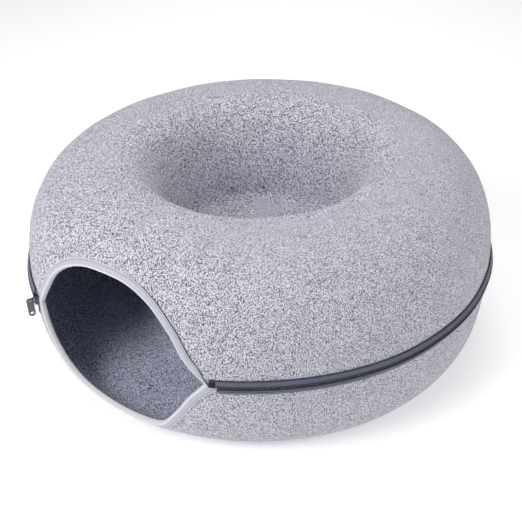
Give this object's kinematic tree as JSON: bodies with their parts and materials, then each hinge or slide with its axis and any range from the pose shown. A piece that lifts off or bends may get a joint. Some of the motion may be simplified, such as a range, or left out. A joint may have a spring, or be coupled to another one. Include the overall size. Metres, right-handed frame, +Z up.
{
  "type": "felt cat cave",
  "caption": "Round felt tunnel bed for a cat: a hollow ring of grey felt with a basin in the middle, a bound side opening and a zip round its widest line.",
  "frame": {"origin": "on the surface the bed stands on, under the middle of its bounding box", "axes": "+Z up, the mouth faces -Y, and +X is to the right of someone who looks into the mouth"},
  "size_m": [0.501, 0.4868, 0.2007],
  "materials": {
    "felt": "stiff needle-punched felt, light grey mottled with darker fibres",
    "binding_tape": "folded woven tape, pale grey, stitched",
    "zip_tape": "woven polyester zip tape, slate blue",
    "zip_coil": "closed nylon coil, slate blue",
    "zip_end": "heat-sealed dark tape end",
    "zip_metal": "tumbled zinc-alloy casting, satin grey"
  },
  "bodies": {
    "root": {"upper_shell": "felt", "lower_shell": "felt", "binding_upper": "binding_tape", "binding_lower": "binding_tape", "zip_tape_upper": "zip_tape", "zip_tape_lower": "zip_tape", "zip_chain": "zip_coil", "zip_end_stop": "zip_end", "zip_tail": "zip_end", "zip_slider": "zip_metal", "zip_puller": "zip_metal"}
  },
  "joints": []
}
